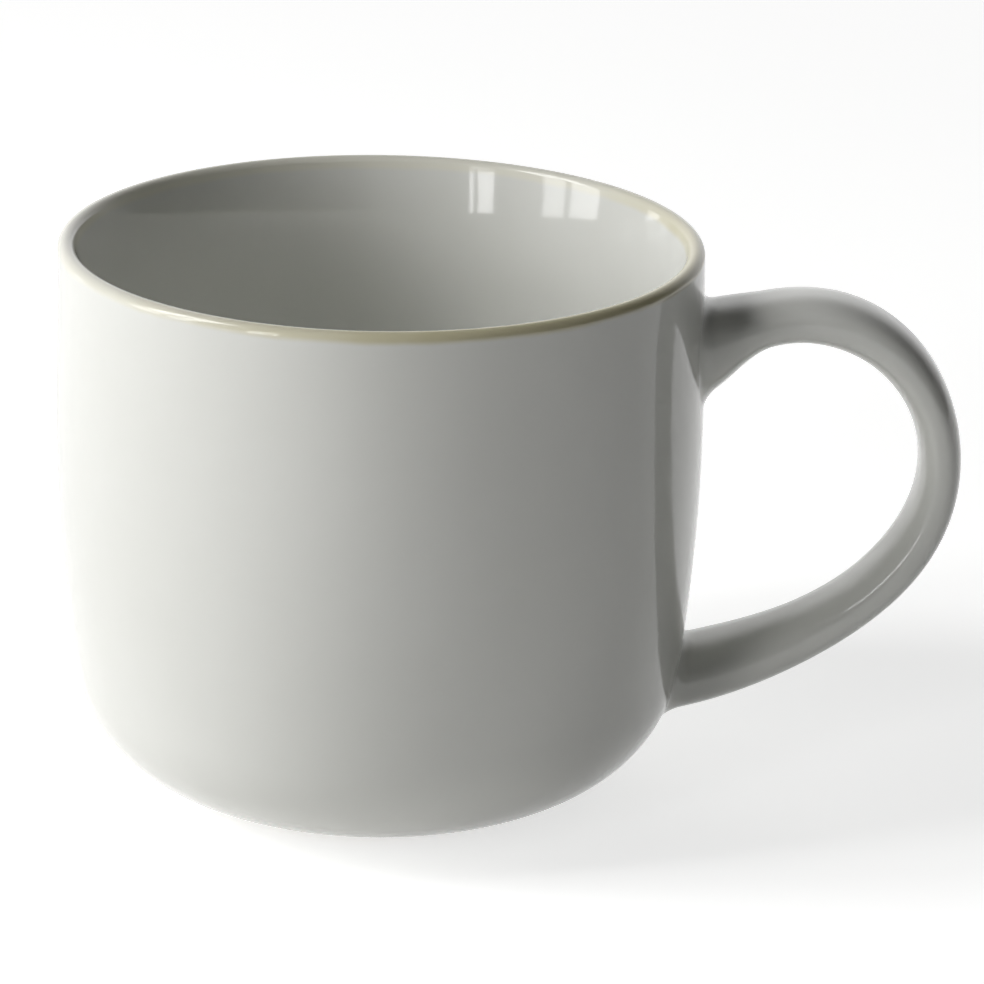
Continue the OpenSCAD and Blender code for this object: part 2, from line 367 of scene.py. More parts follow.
def bead(start: np.ndarray, end: np.ndarray, steps: int) -> np.ndarray:
    """Half circle from one point round to another, bulging to the left of the way between them.

    Args:
        start: First point, which the result leaves out.
        end: Last point, which the result leaves out too.
        steps: Number of steps round the bead.

    Returns:
        The points between the two.
    """
    middle = (start + end) / 2
    spoke = start - middle
    first = math.atan2(spoke[1], spoke[0])
    return arc(middle, float(np.hypot(*spoke)), first, first + math.pi, steps)[1:-1]


def softened(before: np.ndarray, corner: np.ndarray, after: np.ndarray, run: float, steps: int) -> np.ndarray:
    """A corner that is worn round.

    Args:
        before: Point before the corner.
        corner: The sharp corner.
        after: Point after the corner.
        run: How far from the corner the rounding begins.
        steps: Number of steps round it.

    Returns:
        The points of the rounding.
    """
    start = corner + run * (before - corner) / np.hypot(*(before - corner))
    end = corner + run * (after - corner) / np.hypot(*(after - corner))
    share = np.linspace(0.0, 1.0, steps + 1)[:, None]
    return (1 - share) ** 2 * start + 2 * share * (1 - share) * corner + share ** 2 * end


def geometry_tree(name: str, inputs: dict[str, Sequence[str]]
                  ) -> tuple[NodeBuilder, bpy.types.bpy_prop_collection]:
    """Starts a geometry tree.

    Args:
        name: The tree's name.
        inputs: Names of its inputs, by kind of socket.

    Returns:
        A builder on the tree, and the sockets that give the inputs.
    """
    tree = bpy.data.node_groups.new(name, "GeometryNodeTree")
    for kind, labels in inputs.items():
        for label in labels:
            tree.interface.new_socket(name=label, in_out="INPUT", socket_type=f"NodeSocket{kind}")
    tree.interface.new_socket(name="Geometry", in_out="OUTPUT", socket_type="NodeSocketGeometry")
    nodes = NodeBuilder(tree)
    return nodes, nodes.add("NodeGroupInput").outputs


def lathe_tree() -> bpy.types.NodeTree:
    """Builds the geometry tree that turns a template's outline about the Z axis.

    Returns:
        The tree, with the inputs Template, Segments and Finish.
    """
    nodes, given = geometry_tree("turned_on_the_wheel",
                                 {"Object": ["Template"], "Int": ["Segments"], "Material": ["Finish"]})
    template = nodes.out("GeometryNodeObjectInfo", "Geometry", {"Object": given["Template"]})
    rows = nodes.out("GeometryNodeAttributeDomainSize", "Point Count", {"Geometry": template}, component="MESH")
    grid = nodes.add("GeometryNodeMeshGrid",
                     {"Vertices X": nodes.math("ADD", given["Segments"], 1.0), "Vertices Y": rows})
    share = nodes.add("ShaderNodeSeparateXYZ", {"Vector": grid.outputs["UV Map"]}).outputs
    row = nodes.math("ROUND", nodes.math("MULTIPLY", share["Y"], nodes.math("SUBTRACT", rows, 1.0)))
    point = nodes.out("GeometryNodeSampleIndex", "Value",
                      {"Geometry": template, "Value": nodes.out("GeometryNodeInputPosition", "Position"),
                       "Index": row}, data_type="FLOAT_VECTOR", domain="POINT")
    turned = nodes.out("ShaderNodeVectorRotate", "Vector",
                       {"Vector": point, "Angle": nodes.math("MULTIPLY", share["X"], TURN)},
                       rotation_type="Z_AXIS")
    open_form = nodes.out("GeometryNodeSetPosition", "Geometry",
                          {"Geometry": grid.outputs["Mesh"], "Position": turned})
    closed = nodes.out("GeometryNodeMergeByDistance", "Geometry", {"Geometry": open_form, "Distance": MERGE_GAP})
    return finished_tree(nodes, closed, given["Finish"])


def finished_tree(nodes: NodeBuilder, geometry: bpy.types.NodeSocket, finish: bpy.types.NodeSocket
                  ) -> bpy.types.NodeTree:
    """Ends a geometry tree: smooth, realized and with its material.

    Args:
        nodes: Builder on the tree.
        geometry: The geometry to put out.
        finish: The material to give it.

    Returns:
        The tree.
    """
    smooth = nodes.out("GeometryNodeSetShadeSmooth", "Geometry", {"Geometry": geometry})
    real = nodes.out("GeometryNodeRealizeInstances", "Geometry", {"Geometry": smooth})
    dressed = nodes.out("GeometryNodeSetMaterial", "Geometry", {"Geometry": real, "Material": finish})
    nodes.add("NodeGroupOutput", {"Geometry": dressed})
    return nodes.tree


def placed(name: str, data: bpy.types.ID) -> bpy.types.Object:
    """Puts a mesh, a lamp or a camera into the scene.

    Args:
        name: Name of the object.
        data: What the object holds.

    Returns:
        The object.
    """
    thing = bpy.data.objects.new(name, data)
    bpy.context.scene.collection.objects.link(thing)
    return thing


def discard(thing: bpy.types.Object) -> None:
    """Removes a helper object with its mesh.

    Args:
        thing: The object.
    """
    mesh = thing.data
    bpy.data.objects.remove(thing)
    bpy.data.meshes.remove(mesh)


def grown(name: str, tree: bpy.types.NodeTree, values: dict[str, object]) -> bpy.types.Object:
    """Evaluates a geometry tree and keeps the result as a plain mesh object.

    Args:
        name: Name of the object.
        tree: The geometry tree.
        values: Values of its inputs, by name.

    Returns:
        The object, with no modifier left on it.
    """
    blank = bpy.data.meshes.new(name + "_blank")
    piece = placed(name, blank)
    modifier = piece.modifiers.new(name, "NODES")
    modifier.node_group = tree
    for item in tree.interface.items_tree:
        if item.in_out == "INPUT":
            modifier[item.identifier] = values[item.name]
    graph = bpy.context.evaluated_depsgraph_get()
    mesh = bpy.data.meshes.new_from_object(piece.evaluated_get(graph), depsgraph=graph)
    piece.modifiers.remove(modifier)
    piece.data = mesh
    mesh.name = name
    bpy.data.meshes.remove(blank)
    return piece


def close_up(piece: bpy.types.Object) -> None:
    """Turns a closed mesh's faces outward and keeps its real edges crisp.

    Args:
        piece: The mesh object.
    """
    cleaner = bmesh.new()
    cleaner.from_mesh(piece.data)
    bmesh.ops.recalc_face_normals(cleaner, faces=cleaner.faces)
    cleaner.to_mesh(piece.data)
    cleaner.free()
    piece.data.set_sharp_from_angle(angle=SHARP_ANGLE)


@dataclass
class Vessel:
    """The thrown vessel: clay with a bare foot ring, and the glaze coats inside, outside, over the lip and below."""

    rim_d: float = 110 * MM
    height: float = 97.5 * MM
    belly_swell: float = 0.75 * MM
    belly_drop: float = 4 * MM
    side_curve_r: float = 330 * MM
    heel_r: float = 21.7 * MM
    wall: float = 5.8 * MM
    lip_t: float = 3 * MM
    lip_flare: float = math.radians(21)
    floor_t: float = 5.4 * MM
    bowl_r: float = 16 * MM
    foot_d: float = 66 * MM
    foot_w: float = 4.5 * MM
    foot_h: float = 2 * MM
    foot_draft: float = 0.6 * MM
    foot_wear: float = 0.6 * MM
    bare_margin: float = 1.2 * MM
    glaze_t: float = 0.4 * MM
    rim_band_run: float = 0.2 * MM
    buff_run_in: float = 2 * MM
    buff_run_out: float = 1.5 * MM
    segments: int = 288
    straight_rows: int = 20
    side_rows: int = 36
    turn_rows: int = 36
    lip_rows: int = 40
    flare_rows: int = 36
    flat_rows: int = 12
    bead_rows: int = 8

    def __post_init__(self) -> None:
        """Works out the centres and radii of the outline, as the part's own sizes give them."""
        self.rim_r = self.rim_d / 2
        self.wall_total = self.wall + 2 * self.glaze_t
        self.lip_r = self.lip_t / 2
        turn_in = 1 - math.cos(self.lip_flare)
        self.flare_r = (self.wall_total - self.lip_r * (2 - turn_in)) / turn_in
        self.belly_h = self.height - self.lip_r - self.flare_r * math.sin(self.lip_flare) - self.belly_drop
        self.belly = np.array([self.rim_r + self.belly_swell, self.belly_h])
        self.floor_h = self.foot_h + self.floor_t + 2 * self.glaze_t
        self.foot_r = self.foot_d / 2
        self.foot_bore_r = self.foot_r - self.foot_w
        self.lean = math.atan(self.belly_swell / (self.height - self.belly_h))
        self.outward = np.array([math.cos(self.lean), math.sin(self.lean)])
        self.upward = np.array([-math.sin(self.lean), math.cos(self.lean)])
        self.side_c = self.belly - self.side_curve_r * self.outward
        rise = (self.height - self.lip_r + self.lip_r * math.sin(self.lean) - self.belly_h) / math.cos(self.lean)
        self.lip_c = self.belly + rise * self.upward - self.lip_r * self.outward
        self.rim_line_h = float(self.lip_c[1]) - self.rim_band_run
        self.lip_end = self.lean + math.pi - self.lip_flare
        toward = np.array([math.cos(self.lip_end), math.sin(self.lip_end)])
        self.flare_c = self.lip_c - (self.flare_r - self.lip_r) * toward
        self.heel_c = self.turn_centre(0.0, self.heel_r, self.foot_h)
        self.bowl_c = self.turn_centre(-self.wall_total, self.bowl_r, self.floor_h)
        self.buff_line_in = self.height - self.buff_run_in
        self.buff_line_out = self.height - self.buff_run_out

    def turn_centre(self, off: float, radius: float, level: float) -> np.ndarray:
        """Centre of the turn that joins the side's curve to a level.

        Args:
            off: How far outward the side's curve is moved.
            radius: Radius of the turn.
            level: Height that the turn ends at.

        Returns:
            The centre as radius and height.
        """
        reach = (self.side_curve_r + off - radius) ** 2 - (self.side_c[1] - level - radius) ** 2
        return np.array([self.side_c[0] + math.sqrt(reach), level + radius])

    def side_face(self, off: float, top: np.ndarray, centre: np.ndarray, radius: float, last: float) -> np.ndarray:
        """The side from a point of its straight part down round a turn.

        Args:
            off: How far outward of the finished outer face it lies.
            top: Its first point.
            centre: Centre of the turn.
            radius: Radius of the turn.
            last: Angle that the turn ends at.

        Returns:
            Its points from the top down.
        """
        foot = self.side_c + (self.side_curve_r + off) * self.outward
        share = np.linspace(0.0, 1.0, self.straight_rows, endpoint=False)[:, None]
        turn = math.atan2(*(centre - self.side_c)[::-1])
        side = arc(self.side_c, self.side_curve_r + off, self.lean, turn, self.side_rows)
        return np.vstack([top + share * (foot - top), side, arc(centre, radius, turn, last, self.turn_rows)[1:]])

    def straight_point(self, off: float, level: float) -> np.ndarray:
        """Point of the side's straight part, moved outward by off, at a height."""
        foot = self.side_c + (self.side_curve_r + off) * self.outward
        return np.array([foot[0] - (level - foot[1]) * math.tan(self.lean), level])

    def outer_face(self, depth: float, cut_r: float) -> np.ndarray:
        """The outer face below the rim line, down to where it is cut near the foot.

        Args:
            depth: How far under the finished face it lies.
            cut_r: Radius of the cut.

        Returns:
            Its points from the top down.
        """
        last = -math.acos((cut_r - self.heel_c[0]) / (self.heel_r - depth))
        top = self.straight_point(-depth, self.rim_line_h)
        return self.side_face(-depth, top, self.heel_c, self.heel_r - depth, last)

    def flare(self, depth: float, start: float) -> np.ndarray:
        """The flare inside the lip, from an angle down to the side's inner face, at a depth."""
        return arc(self.flare_c, self.flare_r - depth, start, self.lean + math.pi, self.flare_rows)

    def rim_line_angle(self, depth: float) -> float:
        """Angle of the flare where it crosses the rim line, at a depth."""
        return math.pi - math.asin((self.rim_line_h - self.flare_c[1]) / (self.flare_r - depth))

    def inner_face(self, depth: float) -> np.ndarray:
        """The inner face from the rim line down to the middle of the floor.

        Args:
            depth: How far under the finished face it lies.

        Returns:
            Its points from the top down.
        """
        flare = self.flare(depth, self.rim_line_angle(depth))
        side = self.side_face(depth - self.wall_total, flare[-1], self.bowl_c, self.bowl_r + depth, -math.pi / 2)
        share = np.linspace(1.0, 0.0, self.flat_rows + 1)[1:, None]
        return np.vstack([flare, side[1:], side[-1] * np.hstack([share, np.ones_like(share)])])

    def lip_face(self, depth: float) -> np.ndarray:
        """The face over the lip, from the rim line outside to the rim line inside.

        Args:
            depth: How far under the finished face it lies.

        Returns:
            Its points from the outside in.
        """
        lip = arc(self.lip_c, self.lip_r - depth, self.lean, self.lip_end, self.lip_rows)
        flare = arc(self.flare_c, self.flare_r - depth, self.lip_end, self.rim_line_angle(depth), self.bead_rows)
        return np.vstack([[self.straight_point(-depth, self.rim_line_h)], lip, flare[1:]])

    def clay_outline(self) -> np.ndarray:
        """The clay from the middle of the floor up over the lip and down to the foot ring and the recess.

        Returns:
            The points of its outline.
        """
        depth = self.glaze_t
        outer = self.outer_face(depth, self.foot_r)
        root = np.array([self.foot_r, self.foot_h])
        toe = np.array([self.foot_r - self.foot_draft, 0.0])
        heel = np.array([self.foot_bore_r + self.foot_draft, 0.0])
        bore = np.array([self.foot_bore_r, self.foot_h])
        recess = np.array([self.foot_bore_r, self.foot_h + depth])
        return np.vstack([
            self.inner_face(depth)[::-1], self.lip_face(depth)[::-1][1:-1], outer, [root],
            softened(root, toe, heel, self.foot_wear, self.bead_rows),
            softened(toe, heel, bore, self.foot_wear, self.bead_rows),
            [bore, recess, [0.0, self.foot_h + depth]],
        ])

    def outer_coat(self) -> np.ndarray:
        """The coat on the outside, with a beaded edge where it is wiped back from the foot.

        Returns:
            The points of its closed outline.
        """
        cut = self.foot_r + self.bare_margin
        outer = self.outer_face(0.0, cut)
        inner = self.outer_face(self.glaze_t, cut)[::-1]
        return np.vstack([outer, bead(outer[-1], inner[0], self.bead_rows), inner, outer[:1]])

    def coat(self, face: Callable[[float], np.ndarray]) -> np.ndarray:
        """Closed outline of the coat between a finished face and the clay under it, which the face's method gives."""
        return np.vstack([face(0.0), face(self.glaze_t)[::-1], face(0.0)[:1]])

    def base_coat(self) -> np.ndarray:
        """The coat in the recess under the floor, with a beaded edge.

        Returns:
            The points of its outline, from the axis and back to it.
        """
        edge = self.foot_bore_r - self.bare_margin
        low, high = np.array([edge, self.foot_h]), np.array([edge, self.foot_h + self.glaze_t])
        share = np.linspace(0.0, 1.0, self.flat_rows + 1)[:, None]
        flat = np.hstack([share * edge, np.full_like(share, self.foot_h)])
        return np.vstack([flat, bead(high, low, self.bead_rows)[::-1], [high, [0.0, high[1]]]])

    def outer_gap(self, points: np.ndarray) -> tuple[np.ndarray, np.ndarray]:
        """Distance of points from the finished outer face, and the face's normals beside them.

        Args:
            points: One row of x, y and z per point.

        Returns:
            The distances, positive outside, and one unit normal per point.
        """
        around = points[:, :2] / np.linalg.norm(points[:, :2], axis=1, keepdims=True)
        flat = np.stack([np.linalg.norm(points[:, :2], axis=1), points[:, 2]], axis=1)
        from_belly, from_side, from_heel = flat - self.belly, flat - self.side_c, flat - self.heel_c
        reach = self.heel_c - self.side_c
        # Each point is beside the straight part, the slow curve below it or the heel.
        straight = from_belly @ self.upward > 0
        curved = reach[0] * from_heel[:, 1] - reach[1] * from_heel[:, 0] > 0
        side_d, heel_d = np.linalg.norm(from_side, axis=1), np.linalg.norm(from_heel, axis=1)
        gap = np.where(straight, from_belly @ self.outward,
                       np.where(curved, side_d - self.side_curve_r, heel_d - self.heel_r))
        normal = np.where(straight[:, None], self.outward,
                          np.where(curved[:, None], from_side / side_d[:, None], from_heel / heel_d[:, None]))
        return gap, np.hstack([around * normal[:, :1], normal[:, 1:]])

    def turned(self, name: str, outline: np.ndarray, tree: bpy.types.NodeTree, finish: bpy.types.Material
               ) -> bpy.types.Object:
        """Turns an outline into a piece.

        Args:
            name: The piece's name.
            outline: Its points as radius and height.
            tree: The lathe tree.
            finish: The piece's material.

        Returns:
            The piece.
        """
        mesh = bpy.data.meshes.new(name + "_template")
        mesh.from_pydata([(r, 0.0, z) for r, z in outline.tolist()], [], [])
        template = placed(name + "_template", mesh)
        piece = grown(name, tree, {"Template": template, "Segments": self.segments, "Finish": finish})
        discard(template)
        close_up(piece)
        return piece

    def build(self, glaze: bpy.types.Material, clay: bpy.types.Material) -> list[bpy.types.Object]:
        """Makes the vessel's pieces and sets each in place of its node.

        Args:
            glaze: The glaze's material.
            clay: The bare clay's material.

        Returns:
            The pieces.
        """
        tree = lathe_tree()
        plan = (
            ("turned_body", self.clay_outline(), clay, "body", Slot.CLAY),
            ("outer_coat", self.outer_coat(), glaze, "outer_glaze", Slot.WHITE_GLAZE),
            ("inner_coat", self.coat(self.inner_face), glaze, "inner_glaze", Slot.WHITE_GLAZE),
            ("lip_coat", self.coat(self.lip_face), glaze, "rim_glaze", Slot.BUFF_GLAZE),
            ("base_coat", self.base_coat(), glaze, "base_glaze", Slot.WHITE_GLAZE),
        )
        return [stand_in(self.turned(name, outline, tree, finish), node)
                for name, outline, finish, node, slot in plan]


def stand_in(piece: bpy.types.Object, node: str) -> bpy.types.Object:
    """Fixes a piece to the model in place of one of its nodes.

    Args:
        piece: The finished mesh object.
        node: Name of the node that it stands for.

    Returns:
        The same piece.
    """
    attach(piece, BODY)
    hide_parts(node)
    return piece


@dataclass
class StrapHandle:
    """The pulled strap handle, swept along its middle line and luted to the vessel with a smooth fillet."""

    vessel: Vessel
    handle_w: float = 16 * MM
    root_w: float = 20 * MM
    shoulder_t: float = 8.4 * MM
    handle_t: float = 7.2 * MM
    lower_run_t: float = 7.7 * MM
    neck_t: float = 8 * MM
    upper_root_t: float = 13.8 * MM
    lower_root_t: float = 10.3 * MM
    handle_reach: float = 42.2 * MM
    upper_root_drop: float = 19.5 * MM
    lower_root_h: float = 18.2 * MM
    upper_root_angle: float = math.radians(37)
    lower_root_angle: float = math.radians(13)
    root_sink: float = 2.3 * MM
    bow_share: float = 0.673
    upper_pull_share: float = 0.647
    shoulder_pull_share: float = 1.062
    elbow_pull_share: float = 0.383
    lower_pull_share: float = 0.733
    place_shares: tuple[float, ...] = (0.0, 0.1, 0.22, 0.5, 0.75, 1.0)
    taper_share: float = 0.16
    section_power: float = 2.5
    fillet_r: float = 2.4 * MM
    end_sink: float = 0.6 * MM
    past_share: float = 0.06
    past_run: float = 150 * MM
    sides: int = 96
    sample_rings: int = 900
    main_rings: int = 200
    fillet_rings: int = 14

    def wall_point(self, level: float) -> np.ndarray:
        """Finds the end of the middle line inside the side, by halving.

        Args:
            level: Height of the end.

        Returns:
            The point as radius and height.
        """
        low, high = 0.0, self.vessel.rim_d
        for _ in range(HALVINGS):
            middle = (low + high) / 2
            gap, _ = self.vessel.outer_gap(np.array([[middle, 0.0, level]]))
            low, high = (middle, high) if gap[0] < 0 else (low, middle)
        return np.array([low - self.root_sink, level])

    def middle_line(self) -> list[np.ndarray]:
        """The middle line of the strap, as two cubic curves that meet at the bow.

        Returns:
            Its seven points as radius and height, from the upper root round to the lower one.
        """
        upper = self.wall_point(self.vessel.height - self.upper_root_drop)
        lower = self.wall_point(self.lower_root_h)
        bow = np.array([self.vessel.rim_r + self.handle_reach, lower[1] + self.bow_share * (upper[1] - lower[1])])
        upper_way = np.array([math.cos(self.upper_root_angle), math.sin(self.upper_root_angle)])
        lower_way = np.array([math.cos(self.lower_root_angle), math.sin(self.lower_root_angle)])
        return [
            upper,
            upper + self.upper_pull_share * (bow[0] - upper[0]) * upper_way,
            bow + [0.0, self.shoulder_pull_share * (upper[1] - bow[1])],
            bow,
            bow - [0.0, self.elbow_pull_share * (bow[1] - lower[1])],
            lower + self.lower_pull_share * (bow[0] - lower[0]) * lower_way,
            lower,
        ]

    def sweep_tree(self) -> bpy.types.NodeTree:
        """Builds the geometry tree that sweeps the strap's section along its middle line.

        Returns:
            The tree, with a named input for each point of the line and each size of the strap.
        """
        sizes = (*self.thickness_names(), "Width", "Root Width", "Taper", "Squareness", "Past", "Past Run")
        nodes, given = geometry_tree("pulled_strap", {"Vector": self.line_names(), "Float": sizes,
                                                      "Int": ("Rings", "Sides"), "Material": ("Finish",)})
        grid = nodes.add("GeometryNodeMeshGrid",
                         {"Vertices X": nodes.math("ADD", given["Sides"], 1.0), "Vertices Y": given["Rings"]})
        share = nodes.add("ShaderNodeSeparateXYZ", {"Vector": grid.outputs["UV Map"]}).outputs
        along = nodes.ranged(share["Y"], 0.0, 1.0, nodes.math("SUBTRACT", 0.0, given["Past"]),
                             nodes.math("ADD", 1.0, given["Past"]))
        # Past both ends the line runs straight on, so that the strap reaches well into the wall.
        held = nodes.ranged(along, 0.0, 1.0)
        point, way = self.line_nodes(nodes, [given[name] for name in self.line_names()], held)
        past = nodes.math("MULTIPLY", nodes.math("SUBTRACT", along, held), given["Past Run"])
        point = nodes.vector("ADD", point, nodes.vector("SCALE", way, scale=past))
        thickness = given[self.thickness_names()[0]]
        for index, name in enumerate(self.thickness_names()[1:]):
            step = nodes.math("SUBTRACT", given[name], given[self.thickness_names()[index]])
            eased = nodes.ranged(held, self.place_shares[index], self.place_shares[index + 1], smooth=True)
            thickness = nodes.math("ADD", thickness, nodes.math("MULTIPLY", step, eased))
        from_root = nodes.math("MINIMUM", held, nodes.math("SUBTRACT", 1.0, held))
        narrowed = nodes.ranged(from_root, 0.0, given["Taper"], smooth=True)
        width = nodes.out("ShaderNodeMix", "Result_Float",
                          {"Factor_Float": narrowed, "A_Float": given["Root Width"], "B_Float": given["Width"]})
        # The section is an oval that is squared off a little.
        turn = nodes.math("MULTIPLY", share["X"], TURN)
        power = nodes.math("DIVIDE", 2.0, given["Squareness"])
        rise, run = (nodes.math("MULTIPLY", nodes.math("SIGN", side),
                                nodes.math("POWER", nodes.math("ABSOLUTE", side), power))
                     for side in (nodes.math("COSINE", turn), nodes.math("SINE", turn)))
        ways = nodes.add("ShaderNodeSeparateXYZ", {"Vector": way}).outputs
        normal = nodes.out("ShaderNodeCombineXYZ", "Vector",
                           {"X": nodes.math("MULTIPLY", ways["Z"], -1.0), "Z": ways["X"]})
        lift = nodes.math("MULTIPLY", nodes.math("MULTIPLY", thickness, 0.5), rise)
        spread = nodes.math("MULTIPLY", nodes.math("MULTIPLY", width, 0.5), run)
        place = nodes.vector("ADD", point, nodes.vector("SCALE", normal, scale=lift))
        place = nodes.vector("ADD", place, nodes.out("ShaderNodeCombineXYZ", "Vector", {"Y": spread}))
        swept = nodes.out("GeometryNodeSetPosition", "Geometry",
                          {"Geometry": grid.outputs["Mesh"], "Position": place})
        return finished_tree(nodes, swept, given["Finish"])

    @staticmethod
    def line_names() -> tuple[str, ...]:
        """Names of the tree's inputs for the points of the middle line."""
        return ("Upper Root", "Upper Pull", "Shoulder Pull", "Bow", "Elbow Pull", "Lower Pull", "Lower Root")

    @staticmethod
    def thickness_names() -> tuple[str, ...]:
        """Names of the tree's inputs for the strap's thicknesses."""
        return ("Upper Root Thickness", "Neck Thickness", "Shoulder Thickness", "Bow Thickness",
                "Lower Run Thickness", "Lower Root Thickness")

    @staticmethod
    def line_nodes(nodes: NodeBuilder, line: list[bpy.types.NodeSocket], share: bpy.types.NodeSocket
                   ) -> tuple[bpy.types.NodeSocket, bpy.types.NodeSocket]:
        """Adds the nodes that follow the two cubic curves of the middle line.

        Args:
            nodes: Builder on the tree.
            line: The seven points of the line.
            share: How far along the line, from 0 to 1.

        Returns:
            The point and the direction of the line there.
        """
        points, ways = [], []
        for half, row in enumerate((line[:4], line[3:])):
            local = nodes.ranged(share, 0.5 * half, 0.5 * half + 0.5)
            while len(row) > 2:
                row = [nodes.mix_vector(local, a, b) for a, b in zip(row, row[1:])]
            points.append(nodes.mix_vector(local, *row))
            ways.append(nodes.vector("NORMALIZE", nodes.vector("SUBTRACT", row[1], row[0])))
        lower = nodes.math("GREATER_THAN", share, 0.5)
        return nodes.mix_vector(lower, *points), nodes.mix_vector(lower, *ways)

    def swept(self, tree: bpy.types.NodeTree, depth: float, finish: bpy.types.Material) -> np.ndarray:
        """Sweeps the plain strap, whose ends still run into the side.

        Args:
            tree: The sweep tree.
            depth: How far under the finished face it lies.
            finish: The strap's material.

        Returns:
            Its points as sides, rings and coordinates.
        """
        values: dict[str, object] = {name: (float(r), 0.0, float(z))
                                     for name, (r, z) in zip(self.line_names(), self.middle_line())}
        sizes = (self.upper_root_t, self.neck_t, self.shoulder_t, self.handle_t, self.lower_run_t, self.lower_root_t)
        values.update((name, size - 2 * depth) for name, size in zip(self.thickness_names(), sizes))
        values.update({"Width": self.handle_w - 2 * depth, "Root Width": self.root_w - 2 * depth,
                       "Taper": self.taper_share, "Squareness": self.section_power, "Past": self.past_share,
                       "Past Run": self.past_run, "Rings": self.sample_rings, "Sides": self.sides, "Finish": finish})
        strap = grown("strap", tree, values)
        points = np.empty(len(strap.data.vertices) * 3, np.float32)
        strap.data.vertices.foreach_get("co", points)
        discard(strap)
        return points.reshape(self.sides + 1, self.sample_rings, 3)[:-1].astype(float)

    def luted(self, lines: np.ndarray, fillet_share: float) -> np.ndarray:
        """Runs the strap's lines into the side with a fillet at each root.

        Args:
            lines: Points of the plain strap as sides, rings and coordinates.
            fillet_share: Share of the fillet's spread that the lines take, 0 for none.

        Returns:
            Points of the finished strap as rings, sides and coordinates.
        """
        count = self.sample_rings
        gaps = self.vessel.outer_gap(lines.reshape(-1, 3))[0].reshape(self.sides, count)
        middles = lines.mean(axis=0)
        # The fillet is a quarter circle, and one more ring after it lies inside the wall.
        turn = np.linspace(0.0, math.pi / 2, self.fillet_rings + 1)[1:]
        heights = np.append(self.fillet_r * (1 - np.sin(turn)), -self.end_sink)
        spreads = fillet_share * np.append(self.fillet_r * (1 - np.cos(turn)), self.fillet_r)
        half = count // 2
        near, far = np.arange(half), np.arange(count - 1, half, -1)

        def crossing(height: float, order: np.ndarray) -> np.ndarray:
            """Fractional ring number at which each line is at a height over the side."""
            return np.array([np.interp(height, gap[order], order.astype(float)) for gap in gaps])

        starts = [crossing(self.fillet_r, order) for order in (near, far)]
        even = np.linspace(0.0, 1.0, self.main_rings + 1)
        eased = (1 - np.cos(math.pi * even)) / 2
        rings = [self.picked(lines, (1 - share) * starts[0] + share * starts[1]) for share in (even + eased) / 2]
        roots = []
        for order in (near, far):
            roots.append([])
            for height, spread in zip(heights, spreads):
                place = crossing(height, order)
                ring = self.picked(lines, place)
                core = np.stack([np.interp(place, np.arange(count), middles[:, axis]) for axis in range(3)], axis=1)
                roots[-1].append(self.spread_out(ring, ring - core, height, spread))
        return np.array([*roots[0][::-1], *rings, *roots[1]])

    def picked(self, lines: np.ndarray, place: np.ndarray) -> np.ndarray:
        """Picks one point of each line.

        Args:
            lines: Points as sides, rings and coordinates.
            place: One fractional ring number per line.

        Returns:
            The points.
        """
        low = np.clip(np.floor(place).astype(int), 0, self.sample_rings - 2)
        share = (place - low)[:, None]
        index = np.arange(self.sides)
        return (1 - share) * lines[index, low] + share * lines[index, low + 1]

    def spread_out(self, ring: np.ndarray, out: np.ndarray, height: float, spread: float) -> np.ndarray:
        """Moves a ring along the side and sets it at a height over it.

        Args:
            ring: The ring's points.
            out: Their directions from the middle of the strap.
            height: Height over the side.
            spread: How far to move along the side.

        Returns:
            The moved points.
        """
        normal = self.vessel.outer_gap(ring)[1]
        along = out - np.sum(out * normal, axis=1, keepdims=True) * normal
        moved = ring + spread * along / np.linalg.norm(along, axis=1, keepdims=True)
        gap, normal = self.vessel.outer_gap(moved)
        return moved - (gap - height)[:, None] * normal

    def build(self, glaze: bpy.types.Material) -> list[bpy.types.Object]:
        """Makes the coat as a shell round the clay strap and sets it in place of its node.

        Args:
            glaze: The glaze's material.

        Returns:
            The piece.
        """
        tree = self.sweep_tree()
        outer = self.luted(self.swept(tree, 0.0, glaze), 1.0)
        inner = self.luted(self.swept(tree, self.vessel.glaze_t, glaze), 0.0)
        index = np.arange(len(outer) * self.sides).reshape(len(outer), self.sides)
        step = np.roll(index, -1, axis=1)
        skin = np.stack([index[:-1], step[:-1], step[1:], index[1:]], axis=-1).reshape(-1, 4)
        under = index.size
        # A ring of faces inside the wall joins the two skins at each end.
        ends = [np.stack([step[row], index[row], index[row] + under, step[row] + under], axis=-1) for row in (0, -1)]
        faces = np.vstack([skin, skin[:, ::-1] + under, ends[0], ends[1][:, ::-1]])
        mesh = bpy.data.meshes.new("handle_coat")
        mesh.from_pydata(np.concatenate([outer, inner]).reshape(-1, 3).tolist(), [], faces.tolist())
        mesh.materials.append(glaze)
        mesh.shade_smooth()
        piece = placed("handle_coat", mesh)
        close_up(piece)
        return [stand_in(piece, "handle_glaze")]


